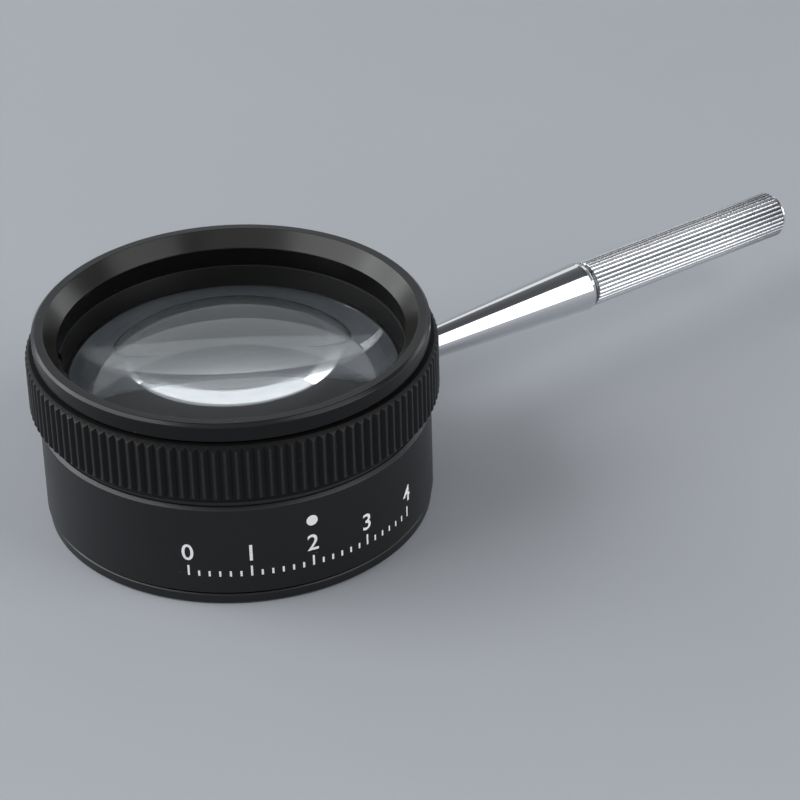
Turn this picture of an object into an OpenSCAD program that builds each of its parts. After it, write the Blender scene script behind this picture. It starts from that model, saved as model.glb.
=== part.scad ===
// Focusing stand loupe with a screw-in handle.
// Millimetres, +Z up. The origin is the centre of the base, on the optical axis.
// The handle leaves the barrel along +X. Heights stack up from the base through the lenses.

/* [Lenses] */
// Diameter of both lenses
lens_d = 50; // [40:0.5:62]
// Radius of curvature of the convex faces
lens_curve_r = 50; // [42:1:90]
// Thickness of a lens at its edge
lens_edge_t = 2; // [1:0.1:4]
// Air gap between the lenses on the axis
lens_gap = 3; // [1:0.1:8]
// Thickness of the gasket under the lower lens
gasket_t = 0.2; // [0.1:0.05:0.5]
// Width of the ledge under the lower lens
ledge_w = 1.6; // [1:0.1:3]
// How far the retaining ring covers the upper lens
lens_cover = 0.7; // [0.4:0.05:1.5]

/* [Lens cell] */
// Wall of the cell round the lenses
cell_wall = 1.35; // [1.2:0.05:3]
// Wall of the threaded head of the cell
cell_head_wall = 1.5; // [1:0.05:3]
// Height of the ledge under the lower lens
ledge_h = 1; // [0.6:0.1:3]
// Height of the hood below the ledge
hood_h = 3.2; // [1:0.1:6]
// Depth of the upper lens edge below the top of the cell
lens_recess = 5.9; // [5:0.1:9]
// Step from the lens bore out to the threaded top bore
top_bore_step = 0.95; // [0.6:0.05:2]

/* [Barrel and foot] */
// Wall of the barrel
barrel_wall = 2.25; // [1.9:0.05:4]
// Wall of the neck that carries the focusing ring
neck_wall = 1.25; // [1:0.05:1.8]
// Height of the neck above the barrel's shoulder
neck_h = 3.2; // [2.8:0.1:4.5]
// Chamfer on the top edge of the barrel
barrel_chamfer = 0.45; // [0.2:0.05:0.8]
// Height of the visible foot ring
foot_h = 1.7; // [1:0.1:3]
// Height of the groove between foot ring and barrel
foot_groove_h = 0.4; // [0.2:0.05:1]
// Height of the foot ring's spigot inside the barrel
spigot_h = 3; // [2:0.1:4]
// Height of the foot ring's narrow mouth
mouth_h = 3; // [2:0.1:4]
// Radial step from the foot ring's mouth out to the barrel's bore
mouth_step = 0.45; // [0.2:0.05:1]
// Wall of the foot ring's spigot
spigot_wall = 0.9; // [0.6:0.05:1.2]
// Gap between the foot ring's mouth and the cell at rest
cell_lift = 0.5; // [0.3:0.1:2]
// How far the foot ring is set in from the barrel's wall
foot_inset = 0.3; // [0.1:0.05:0.8]

/* [Focusing ring] */
// Height of the focusing ring
ring_h = 9.7; // [8:0.1:14]
// Wall of the focusing ring outside the brass nut
ring_wall = 1.65; // [1.2:0.05:3]
// Wall of the brass nut outside the neck
nut_wall = 0.6; // [0.5:0.05:1.5]
// Number of flutes on the focusing ring
ring_flutes = 120; // [60:2:160]
// Depth of a flute on the focusing ring
ring_flute_depth = 0.42; // [0.2:0.02:0.7]
// Height of the smooth bevel below the flutes
ring_bevel_h = 0.9; // [0.5:0.1:2]
// Height of the chamfer above the flutes
ring_chamfer_h = 0.9; // [0.3:0.05:1.2]
// Open gap between the barrel's shoulder and the ring
shoulder_gap = 1.1; // [0.6:0.1:2]
// Rise of the lenses over the whole focusing range
travel = 4; // [2:0.1:5]
// Radius of the snap ring's wire
snap_wire_r = 0.42; // [0.3:0.02:0.5]

/* [Eye cap] */
// Height of the cap's flange
cap_h = 2.8; // [2:0.1:5]
// How far the cap is set in from the crests of the flutes
cap_inset = 1.13; // [0.6:0.01:2]
// Width of the lip and its outer chamfer
lip_w = 1.7; // [1:0.1:2]
// Chamfer on the outer top edge of the cap
lip_chamfer = 0.45; // [0.2:0.05:0.8]
// Depth of the bevel inside the lip
bevel_depth = 2.4; // [1.5:0.1:2.6]
// Wall of the cap's threaded skirt
cap_skirt_wall = 0.66; // [0.5:0.02:0.8]
// Length of the cap's threaded skirt
cap_skirt_h = 2.5; // [1.5:0.1:3]

/* [Handle] */
// Height of the handle's axis below the barrel's shoulder
handle_drop = 3.1; // [3:0.1:5]
// Length of the tapered rod
rod_len = 35.6; // [20:0.5:80]
// Radius of the rod at the barrel
rod_r0 = 2.05; // [2:0.05:3]
// Radius of the rod at its shoulder
rod_r1 = 3.9; // [3.2:0.05:5]
// Length of the grip sleeve
grip_len = 38.4; // [20:0.2:80]
// Radius of the grip over its flutes
grip_r = 3.65; // [3.4:0.05:5]
// Number of flutes on the grip
grip_flutes = 30; // [16:2:48]
// Depth of a flute on the grip
grip_flute_depth = 0.26; // [0.1:0.02:0.4]
// Radius of the tang inside the grip
tang_r = 2.4; // [1.5:0.1:2.8]
// Length of the plug's stem inside the grip
plug_stem = 3; // [2:0.1:6]
// Radius of the threaded stud
stud_r = 1.5; // [1:0.1:1.5]
// Length of the stud inside the rod
stud_in_rod = 8; // [5:0.5:15]
// Outer radius of the threaded socket in the wall
socket_r = 2.4; // [2.1:0.05:2.5]
// Outer radius of the washer
washer_r = 2.6; // [2.5:0.05:3]
// Thickness of the washer
washer_t = 0.5; // [0.3:0.1:1]

/* [Guide screw] */
// Depth of the guide screw's axis below the barrel's shoulder
guide_drop = 4.5; // [3:0.1:6]
// Radius of the guide screw's thread
guide_r = 1; // [0.8:0.1:1.5]
// Radius of the guide screw's tip
guide_tip_r = 0.7; // [0.4:0.05:0.8]
// Depth of the keyway in the cell
keyway_depth = 0.9; // [0.6:0.05:1]

/* [Clearances] */
// Radial clearance of a sliding or turning fit
run_fit = 0.05; // [0.02:0.01:0.1]
// Radial clearance of screwed and pushed-in pieces
seat_fit = 0.03; // [0.01:0.01:0.05]
// Gap between faces that move past each other
face_gap = 0.2; // [0.1:0.05:0.3]

/* [Hidden] */
$fn = 96;
through = 1;             // how far a cutter runs past the face it cuts
slot_azimuth = -34;      // where the retaining ring's spanner slots are
slot_w = 1.4;
slot_depth = 0.9;
small_chamfer = 0.15;
hex_r = 0.55;            // hexagon socket of the guide screw
hex_depth = 0.8;
ring_bevel_w = 1.1;      // how far the focusing ring's lower bevel goes in at its foot
ring_runout_h = 0.4;     // height over which the flutes run out into the lower bevel

// Height of a lens face below its centre, at a distance from the axis
function sag(r) = lens_curve_r - sqrt(lens_curve_r * lens_curve_r - r * r);

// Radii, from the lens outwards
lens_r = lens_d / 2;
lens_bore_r = lens_r + run_fit;
skirt_r = lens_bore_r + cell_wall;
barrel_bore_r = skirt_r + run_fit;
barrel_r = barrel_bore_r + barrel_wall;
neck_r = barrel_bore_r + neck_wall;
ring_bore_r = neck_r + run_fit;
top_bore_r = lens_bore_r + top_bore_step;
head_r = top_bore_r + cell_head_wall;
nut_bore_r = head_r + run_fit;
nut_r = max(nut_bore_r, ring_bore_r) + nut_wall;
ring_r = nut_r + ring_wall;
ring_root_r = ring_r - ring_flute_depth;
cap_r = ring_r - cap_inset;
cap_skirt_r = top_bore_r - seat_fit;
eye_r = cap_skirt_r - cap_skirt_wall;
foot_r = barrel_r - foot_inset;
mouth_r = barrel_bore_r - mouth_step;
spigot_r = barrel_bore_r + spigot_wall;
hood_r = lens_r - ledge_w;

// Heights, from the base upwards
barrel_z = foot_h + foot_groove_h;
cell_z = mouth_h + cell_lift;
ledge_z = cell_z + hood_h + ledge_h;
lower_z = ledge_z + gasket_t;
lower_edge_z = lower_z + lens_edge_t;
spacer_z = lower_edge_z + sag(lens_r) - sag(hood_r) + seat_fit;
upper_z = lower_edge_z + sag(lens_r) + lens_gap;
edge_z = upper_z + lens_edge_t;
cell_top_z = edge_z + lens_recess;
ring_top_z = cell_top_z - face_gap;
ring_z = ring_top_z - ring_h;
shoulder_z = ring_z - shoulder_gap;
neck_top_z = shoulder_z + neck_h;
step_z = neck_top_z + face_gap;
head_z = step_z + face_gap / 2;
snap_z = shoulder_z + 2.1;
snap_half_h = snap_wire_r + 0.08;
snap_depth = 0.5;
cover_r = lens_r - lens_cover;
cover_rise = sag(lens_r) - sag(cover_r);
retainer_z = edge_z + cover_rise + seat_fit;
cap_skirt_z = cell_top_z - cap_skirt_h;
top_z = cell_top_z + cap_h;

// Handle, as distances along +X
handle_z = shoulder_z - handle_drop;
spot_x = barrel_r - 0.35;
socket_x = barrel_bore_r + 0.15;
rod_x = spot_x + washer_t;
rod_end_x = rod_x + rod_len;
grip_x = rod_end_x + 0.4;
grip_end_x = grip_x + grip_len;
plug_x = grip_end_x - plug_stem;
guide_z = shoulder_z - guide_drop;

// Outline of a fluted bar: crests and roots alternate round the circle
function flute_points(count, crest_r, root_r) =
    [for (i = [0 : 2 * count - 1])
        let (r = i % 2 == 0 ? crest_r : root_r, a = i * 180 / count) [r * cos(a), r * sin(a)]];

// Turned piece from its half outline of [radius, height] points
module turned(points) rotate_extrude() polygon(points);

// Straight tube between two heights
module tube(outer_r, inner_r, z0, z1)
    turned([[inner_r, z0], [outer_r, z0], [outer_r, z1], [inner_r, z1]]);

// Puts a piece that is modelled along +Z on the handle's axis, along +X
module on_handle(x = 0) translate([x, 0, handle_z]) rotate([0, 90, 0]) children();

// Puts a piece that is modelled along +Z on the guide screw's axis, along +Y
module on_guide(y = 0) translate([0, y, guide_z]) rotate([-90, 0, 0]) children();

// Lens with a flat lower face and a convex upper face
module plano_convex(z) intersection() {
    translate([0, 0, z]) cylinder(r = lens_r, h = lens_edge_t + sag(lens_r) + through);
    translate([0, 0, z + lens_edge_t + sag(lens_r) - lens_curve_r]) sphere(r = lens_curve_r, $fn = 160);
}

// Black tube with a neck for the ring, a counterbore for the foot, and two side holes
module stand_barrel() color("#26272a") difference() {
    turned([
        [spigot_r + seat_fit, barrel_z],
        [barrel_r - small_chamfer, barrel_z],
        [barrel_r, barrel_z + small_chamfer],
        [barrel_r, shoulder_z - barrel_chamfer],
        [barrel_r - barrel_chamfer, shoulder_z],
        [neck_r, shoulder_z],
        [neck_r, snap_z - snap_half_h],
        [neck_r - snap_depth, snap_z - snap_half_h],
        [neck_r - snap_depth, snap_z + snap_half_h],
        [neck_r, snap_z + snap_half_h],
        [neck_r, neck_top_z],
        [barrel_bore_r, neck_top_z],
        [barrel_bore_r, barrel_z + spigot_h + seat_fit],
        [spigot_r + seat_fit, barrel_z + spigot_h + seat_fit]]);
    on_handle(barrel_bore_r - through) cylinder(r = socket_r + seat_fit, h = barrel_wall + 2 * through);
    on_handle(spot_x) cylinder(r = washer_r + face_gap, h = through);
    on_guide(barrel_bore_r - through) cylinder(r = guide_r + seat_fit, h = barrel_wall + 2 * through);
}

// Screwed foot with a spigot; its lower edge stands on the print
module foot_ring() color("#2b2c2f") turned([
    [mouth_r, 0],
    [foot_r - 2 * small_chamfer, 0],
    [foot_r, 2 * small_chamfer],
    [foot_r, foot_h - small_chamfer],
    [foot_r - small_chamfer, foot_h],
    [spigot_r + seat_fit, foot_h],
    [spigot_r + seat_fit, barrel_z],
    [spigot_r, barrel_z],
    [spigot_r, barrel_z + spigot_h],
    [barrel_bore_r, barrel_z + spigot_h],
    [barrel_bore_r, mouth_h],
    [mouth_r, mouth_h]]);

// Grub screw whose thin tip stands in the cell's keyway
module guide_screw() color("#8d9095") difference() {
    union() {
        on_guide(barrel_bore_r + run_fit)
            cylinder(r = guide_r, h = barrel_wall - face_gap - run_fit);
        on_guide(skirt_r - keyway_depth + face_gap)
            cylinder(r = guide_tip_r, h = keyway_depth);
    }
    on_guide(barrel_r - face_gap - hex_depth) cylinder(r = hex_r, h = hex_depth + through, $fn = 6);
}

// Plain ring that the focusing ring turns on
module bearing_washer() color("#17181a")
    tube(barrel_r - barrel_chamfer - small_chamfer, ring_bore_r, shoulder_z, ring_z - run_fit);

// Split wire that lies half in the neck and half in the focusing ring
module snap_ring() color("#9a9da2") rotate([0, 0, 94]) rotate_extrude(angle = 352)
    translate([neck_r + run_fit / 2, snap_z]) circle(r = snap_wire_r, $fn = 32);

// Threaded bush pressed into the barrel's wall
module handle_socket() color("#b8952f") difference() {
    on_handle(socket_x) cylinder(r = socket_r, h = spot_x - socket_x);
    on_handle(socket_x - through) cylinder(r = stud_r + seat_fit, h = barrel_wall + 2 * through);
}

// Fluted ring with a chamfered top, a smooth bevel below and a recess for the nut
module focus_ring() color("#242528") difference() {
    intersection() {
        translate([0, 0, ring_z]) linear_extrude(ring_h)
            polygon(flute_points(ring_flutes, ring_r, ring_root_r));
        turned([
            [0, ring_z],
            [ring_r - ring_bevel_w, ring_z],
            [ring_root_r - face_gap, ring_z + ring_bevel_h],
            [ring_r + face_gap, ring_z + ring_bevel_h + ring_runout_h],
            [ring_r + face_gap, ring_top_z - ring_chamfer_h],
            [ring_root_r - small_chamfer, ring_top_z],
            [0, ring_top_z]]);
    }
    translate([0, 0, ring_z - through]) cylinder(r = ring_bore_r, h = ring_h + 2 * through);
    translate([0, 0, snap_z - snap_half_h]) cylinder(r = ring_bore_r + snap_depth, h = 2 * snap_half_h);
    translate([0, 0, step_z]) cylinder(r = nut_r + seat_fit, h = ring_h);
}

// Brass nut inside the focusing ring, on the thread of the cell
module helicoid_nut() color("#b08d3c") tube(nut_r, nut_bore_r, step_z, ring_top_z - face_gap / 2);

// Tube that carries both lenses; its head is threaded and its skirt has a keyway
module lens_cell() color("#1d1e20") difference() {
    turned([
        [hood_r, cell_z],
        [skirt_r, cell_z],
        [skirt_r, head_z],
        [head_r, head_z],
        [head_r, cell_top_z],
        [top_bore_r, cell_top_z],
        [top_bore_r, edge_z + cover_rise / 2],
        [lens_bore_r, edge_z + cover_rise / 2],
        [lens_bore_r, ledge_z],
        [hood_r, ledge_z]]);
    translate([-guide_tip_r - run_fit, skirt_r - keyway_depth,
               guide_z - guide_tip_r - face_gap / 2 - travel])
        cube([2 * (guide_tip_r + run_fit), keyway_depth + through, 2 * guide_tip_r + face_gap + travel]);
}

// Top ring with a narrow lip, a wide bevel towards the eye, and a threaded skirt
module eye_cap() color("#2a2b2e") turned([
    [eye_r, cap_skirt_z],
    [cap_skirt_r, cap_skirt_z],
    [cap_skirt_r, cell_top_z],
    [cap_r - small_chamfer, cell_top_z],
    [cap_r, cell_top_z + small_chamfer],
    [cap_r, top_z - lip_chamfer],
    [cap_r - lip_chamfer, top_z],
    [cap_r - lip_w, top_z],
    [eye_r, top_z - bevel_depth]]);

// Threaded ring that holds the upper lens down; two slots take a spanner
module retaining_ring() color("#202124") difference() {
    turned([
        [cover_r, retainer_z],
        [top_bore_r - seat_fit, retainer_z],
        [top_bore_r - seat_fit, cap_skirt_z - run_fit],
        [eye_r - small_chamfer, cap_skirt_z - run_fit]]);
    rotate([0, 0, slot_azimuth])
        translate([-barrel_r, -slot_w / 2, cap_skirt_z - run_fit - slot_depth])
            cube([2 * barrel_r, slot_w, slot_depth + through]);
}

module upper_lens() color("#c4d4dc", 0.35) plano_convex(upper_z);

// Plain tube between the edges of the two lenses
module spacer_tube() color("#9b9da0") tube(lens_r, hood_r, spacer_z, upper_z);

module lower_lens() color("#c4d4dc", 0.35) plano_convex(lower_z);

// Thin ring that cushions the lower lens on its ledge
module lens_gasket() color("#111214") tube(lens_r, hood_r, ledge_z, lower_z);

// Washer on the barrel's flat, under the end of the rod
module handle_washer() color("#c9ccd0") on_handle(spot_x) tube(washer_r, stud_r + face_gap, 0, washer_t);

// Threaded stud, fixed in the rod
module handle_stud() color("#a5a8ad") on_handle(socket_x + face_gap)
    cylinder(r = stud_r, h = rod_x + stud_in_rod - socket_x - face_gap);

// Tapered rod with a rounded shoulder, a dark seam and a tang for the grip
module handle_rod() color("#d8dade") on_handle(rod_x) difference() {
    turned([
        [0, 0],
        [rod_r0 - small_chamfer, 0],
        [rod_r0, small_chamfer],
        [rod_r1, rod_len - 1.3],
        [rod_r1 + 0.05, rod_len - 0.9],
        [rod_r1 - 0.05, rod_len - 0.3],
        [rod_r1 - 0.35, rod_len],
        [grip_r - 0.65, rod_len],
        [grip_r - 0.65, grip_x - rod_x],
        [tang_r, grip_x - rod_x],
        [tang_r, plug_x - rod_x - 2],
        [0, plug_x - rod_x - 2]]);
    translate([0, 0, -through]) cylinder(r = stud_r + seat_fit, h = stud_in_rod + through + face_gap);
}

// Fluted sleeve, chamfered at both ends
module handle_grip() color("#e2e3e6") on_handle(grip_x) difference() {
    intersection() {
        linear_extrude(grip_len)
            polygon(flute_points(grip_flutes, grip_r, grip_r - grip_flute_depth));
        turned([
            [0, 0],
            [grip_r - 0.3, 0],
            [grip_r + 0.05, 0.35],
            [grip_r + 0.05, grip_len - 0.7],
            [grip_r - 0.6, grip_len],
            [0, grip_len]]);
    }
    translate([0, 0, -through]) cylinder(r = tang_r + seat_fit, h = grip_len + 2 * through);
}

// Turned plug that closes the far end of the grip
module grip_plug() color("#cdd0d4") on_handle(plug_x) turned([
    [0, 0],
    [tang_r, 0],
    [tang_r, plug_stem],
    [grip_r - 0.75, plug_stem],
    [grip_r - 0.75, plug_stem + 0.35],
    [grip_r - 1.15, plug_stem + 0.8],
    [0, plug_stem + 0.8]]);

stand_barrel();
foot_ring();
guide_screw();
bearing_washer();
snap_ring();
handle_socket();
focus_ring();
helicoid_nut();
lens_cell();
eye_cap();
retaining_ring();
upper_lens();
spacer_tube();
lower_lens();
lens_gasket();
handle_washer();
handle_stud();
handle_rod();
handle_grip();
grip_plug();
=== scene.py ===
"""Looks of a focusing stand loupe: turned black metal, real glass and a chromed handle.

Every piece is a numpy surface in the row frame, worked out in millimetres and stored in metres.
"""
import logging
import math
from dataclasses import dataclass
from enum import Enum
from typing import ClassVar, Mapping, Sequence

import bpy
import numpy as np
from mathutils import Matrix, Vector


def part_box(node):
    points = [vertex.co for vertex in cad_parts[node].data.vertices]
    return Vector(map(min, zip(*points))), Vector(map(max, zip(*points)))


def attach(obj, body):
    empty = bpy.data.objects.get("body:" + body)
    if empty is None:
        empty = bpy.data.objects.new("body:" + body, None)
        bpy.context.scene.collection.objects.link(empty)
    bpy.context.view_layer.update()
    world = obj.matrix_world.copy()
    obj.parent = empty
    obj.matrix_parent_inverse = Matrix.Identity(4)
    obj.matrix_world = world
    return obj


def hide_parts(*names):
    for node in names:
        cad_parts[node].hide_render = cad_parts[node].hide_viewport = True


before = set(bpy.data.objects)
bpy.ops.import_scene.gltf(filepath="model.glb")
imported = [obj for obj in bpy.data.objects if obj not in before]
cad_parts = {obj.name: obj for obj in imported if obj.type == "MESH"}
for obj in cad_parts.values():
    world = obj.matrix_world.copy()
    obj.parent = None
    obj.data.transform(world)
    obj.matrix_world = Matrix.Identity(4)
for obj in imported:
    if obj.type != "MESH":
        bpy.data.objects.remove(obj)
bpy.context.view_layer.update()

LOG = logging.getLogger("loupe")
MM = 0.001
FULL_TURN = 2 * math.pi
FINEST = 512         # steps round the widest turned pieces
FINE = 384           # steps round the other large ones
SMALL = 128          # steps round a handle piece
CREASE = 38.0        # degrees; sharper edges stay sharp
NEXT_TO_NOTHING = 1e-6
OVERRUN = 1.0        # mm that a cutter goes on beyond what it cuts


Corners = Sequence[tuple[float, float, float]]      # [radius, height, fillet], in mm
Colour = tuple[float, float, float, float]          # linear light and opacity


def rgb(red: float, green: float, blue: float) -> Colour:
    """An opaque colour in linear light."""
    return red, green, blue, 1.0


# ---------------------------------------------------------------- geometry

class Axis(Enum):
    """The three lines that pieces are turned about."""

    OPTICAL = "optical"
    HANDLE = "handle"
    GUIDE = "guide"


@dataclass(frozen=True)
class Extent:
    """A node's largest radius and its two ends along the axis it is turned about, in mm."""

    radius: float
    start: float
    end: float


@dataclass
class Surface:
    """Vertices in mm, faces as index lists, and how much of each vertex lies on a rounded edge."""

    points: np.ndarray
    faces: list[list[int]]
    edge: np.ndarray


def axis_of(node: str | None) -> Axis:
    """The line that a CAD node is turned about."""
    if node == "guide_screw":
        return Axis.GUIDE
    return Axis.HANDLE if node and node.startswith(("handle_", "grip_")) else Axis.OPTICAL


def extent(node: str) -> Extent:
    """Measures a CAD node about its own axis.

    Args:
        node: The node's name.

    Returns:
        Its radius and its ends along that axis, in mm.
    """
    low, high = (np.array(corner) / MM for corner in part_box(node))
    along, across = {Axis.OPTICAL: (2, 1), Axis.HANDLE: (0, 1), Axis.GUIDE: (1, 0)}[axis_of(node)]
    radius = max(abs(low[across]), abs(high[across]))
    return Extent(float(radius), float(low[along]), float(high[along]))


def axis_height(node: str) -> float:
    """The height in mm of the middle of a node that lies along X or Y."""
    low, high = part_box(node)
    return (low.z + high.z) / 2 / MM


def place(points: np.ndarray, axis: Axis) -> np.ndarray:
    """Turns points modelled about +Z onto the axis, which keeps them right-handed.

    Args:
        points: Local points, with the last column along the axis.
        axis: Where they go.

    Returns:
        Points in the row frame, in mm.
    """
    x, y, z = points[..., 0], points[..., 1], points[..., 2]
    if axis is Axis.HANDLE:
        return np.stack([z, y, axis_height("handle_rod") - x], axis=-1)
    if axis is Axis.GUIDE:
        return np.stack([x, z, axis_height("guide_screw") - y], axis=-1)
    return points


def unit(vectors: np.ndarray) -> np.ndarray:
    """Vectors divided by their own lengths."""
    return vectors / np.linalg.norm(vectors, axis=-1, keepdims=True)


def outline(corners: Corners, steps: int = 5, hold: float = 0.06) -> tuple[np.ndarray, np.ndarray]:
    """Rounds a closed outline.

    The fillet touches both sides at fillet / tan(half the corner) from the corner, and its points
    turn about the centre that lies on the bisector, by spherical interpolation between the two
    touching points. A holding point beside each fillet keeps the flat stretches flat.

    Args:
        corners: The corners in order.
        steps: Steps in each fillet.
        hold: How far a holding point stands from its fillet, in mm.

    Returns:
        The outline's points and, for each, 1 on a fillet and 0 elsewhere.
    """
    data = np.array(corners, float)
    corner, fillet = data[:, :2], np.maximum(data[:, 2], 1e-4)
    back, ahead = np.roll(corner, 1, axis=0) - corner, np.roll(corner, -1, axis=0) - corner
    length_in, length_out = np.linalg.norm(back, axis=1), np.linalg.norm(ahead, axis=1)
    u, v = unit(back), unit(ahead)
    half = np.arccos(np.clip((u * v).sum(axis=1), -1, 1)) / 2
    reach = np.minimum(fillet / np.tan(half), 0.4 * np.minimum(length_in, length_out))
    fillet = reach * np.tan(half)
    centre = corner + unit(u + v + 1e-12) * (fillet / np.sin(half))[:, None]
    first, last = corner + u * reach[:, None], corner + v * reach[:, None]
    sweep = np.maximum(math.pi - 2 * half, NEXT_TO_NOTHING)[:, None, None]
    share = np.linspace(0, 1, steps + 1)[None, :, None]
    turned = (np.sin((1 - share) * sweep) * (first - centre)[:, None]
              + np.sin(share * sweep) * (last - centre)[:, None]) / np.sin(sweep)
    before = first + u * np.minimum(hold, 0.1 * length_in)[:, None]
    beyond = last + v * np.minimum(hold, 0.1 * length_out)[:, None]
    points = np.concatenate([before[:, None], centre[:, None] + turned, beyond[:, None]], axis=1)
    edge = np.zeros(points.shape[:2])
    edge[:, 1:-1] = 1
    return points.reshape(-1, 2), edge.reshape(-1)


def around(rows: int) -> np.ndarray:
    """A column of angles that are evenly spaced round the axis."""
    return np.linspace(0, FULL_TURN, rows, endpoint=False)[:, None]


def polar(radius: np.ndarray, angle: np.ndarray, height: np.ndarray) -> np.ndarray:
    """Points at (radius cos angle, radius sin angle, height)."""
    return np.stack([radius * np.cos(angle), radius * np.sin(angle), height], axis=-1)


def fan(hub: int, first: np.ndarray, second: np.ndarray) -> list[list[int]]:
    """Triangles from one vertex to pairs of others."""
    return np.stack([np.full(len(first), hub), first, second], axis=-1).tolist()


def counter_clockwise(flat: np.ndarray) -> bool:
    """Whether a flat outline runs counter-clockwise, by its signed area."""
    ahead = np.roll(flat, -1, axis=0)
    return float((flat[:, 0] * ahead[:, 1] - ahead[:, 0] * flat[:, 1]).sum()) > 0


def grid_faces(rows: int, columns: int, wrap_rows: bool = True, wrap_columns: bool = True) -> np.ndarray:
    """Quads of a grid of points.

    Args:
        rows: Points round the axis.
        columns: Points along the outline.
        wrap_rows: Whether the last row joins the first.
        wrap_columns: Whether the outline is closed.

    Returns:
        Vertex indices, four to a face, facing outwards for a counter-clockwise outline.
    """
    i = np.arange(rows if wrap_rows else rows - 1)[:, None]
    j = np.arange(columns if wrap_columns else columns - 1)[None, :]
    after_i, after_j = (i + 1) % rows, (j + 1) % columns
    corners = [i * columns + j, after_i * columns + j, after_i * columns + after_j, i * columns + after_j]
    return np.stack(corners, axis=-1).reshape(-1, 4)


def revolve(radius: np.ndarray, height: np.ndarray, edge: np.ndarray) -> Surface:
    """Closed surface from radii and heights that may change round the axis.

    The point at angle a and outline step j is (radius cos a, radius sin a, height).

    Args:
        radius: Angles by outline points, in mm.
        height: The same shape, in mm.
        edge: Roundness mask of the outline points.

    Returns:
        The closed ring-shaped surface.
    """
    rows, columns = radius.shape
    points = polar(radius, around(rows), height)
    return Surface(points.reshape(-1, 3), grid_faces(rows, columns).tolist(), np.tile(edge, rows))


def turn_ring(corners: Corners, rows: int = FINE, steps: int = 5) -> Surface:
    """Turned ring from a closed outline that stays clear of the axis.

    Args:
        corners: The outline's corners.
        rows: Steps round the axis.
        steps: Steps in each fillet.

    Returns:
        The ring's surface.
    """
    profile, edge = outline(corners, steps)
    if not counter_clockwise(profile):
        profile, edge = profile[::-1], edge[::-1]
    shape = (rows, len(profile))
    return revolve(np.broadcast_to(profile[:, 0], shape), np.broadcast_to(profile[:, 1], shape), edge)


def eased_ring(inner: float, ring: Extent, fillets: Sequence[float], rows: int = FINE) -> Surface:
    """Plain turned ring with eased edges.

    Args:
        inner: Radius of its bore, in mm.
        ring: Its outer radius and its ends.
        fillets: Fillets at the start's bore and rim, then at the end's rim and bore, in mm.
        rows: Steps round the axis.

    Returns:
        The ring's surface.
    """
    places = ((inner, ring.start), (ring.radius, ring.start), (ring.radius, ring.end), (inner, ring.end))
    return turn_ring([(r, z, fillet) for (r, z), fillet in zip(places, fillets)], rows)


def turn_solid(profile: np.ndarray, edge: np.ndarray, rows: int,
               scale: np.ndarray | float = 1.0) -> Surface:
    """Turned solid whose outline starts and ends on the axis, closed by a point at each end.

    Args:
        profile: Open outline from the lower end to the upper end; both end points are on the axis.
        edge: Roundness mask of its points.
        rows: Steps round the axis.
        scale: Factors on the radii, angles by outline points, or one factor for all.

    Returns:
        The solid's surface.
    """
    shape = (rows, len(profile) - 2)
    radius = (profile[:, 0] * np.broadcast_to(scale, (rows, len(profile))))[:, 1:-1]
    points = polar(radius, around(rows), np.broadcast_to(profile[1:-1, 1], shape)).reshape(-1, 3)
    ends = np.array([[0, 0, profile[0, 1]], [0, 0, profile[-1, 1]]])
    low, high = len(points), len(points) + 1
    lowest = np.arange(rows) * shape[1]
    highest = lowest + shape[1] - 1
    faces = (grid_faces(*shape, wrap_columns=False).tolist() + fan(low, np.roll(lowest, -1), lowest)
             + fan(high, highest, np.roll(highest, -1)))
    return Surface(np.vstack([points, ends]), faces, np.append(np.tile(edge[1:-1], rows), [0, 0]))


def open_outline(corners: Corners, steps: int = 5) -> tuple[np.ndarray, np.ndarray]:
    """Rounds an outline whose first and last corners lie on the axis.

    Args:
        corners: The corners from end to end.
        steps: Steps in each fillet.

    Returns:
        The points from end to end, and their roundness mask.
    """
    points, edge = outline(corners, steps)
    per_corner = steps + 3
    inside = slice(per_corner, -per_corner)
    profile = np.vstack([corners[0][:2], points[inside], corners[-1][:2]])
    return profile, np.concatenate([[0], edge[inside], [0]])


def ridges(angle: np.ndarray, count: int, crest: float, depth: float, roundness: float) -> np.ndarray:
    """Radius of a fluted bar.

    The wave is a triangle between crest and root, with its tip softened, blended with a row of
    round ridges, which are the square root of 1 minus the triangle squared.

    Args:
        angle: Angles in radians.
        count: Flutes round the bar.
        crest: Largest radius, in mm.
        depth: Depth of a flute, in mm.
        roundness: 0 for sharp ridges, 1 for round ones with narrow grooves.

    Returns:
        The radius at each angle.
    """
    softness = 0.02
    triangle = np.abs((angle * count / FULL_TURN) % 1 * 2 - 1)
    sharp = 1 - np.sqrt(triangle**2 + softness) + math.sqrt(softness)
    round_top = np.sqrt(np.clip(1 - triangle**2, 0, 1))
    wave = (1 - roundness) * sharp + roundness * round_top
    return crest - depth * (1 - wave)


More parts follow.
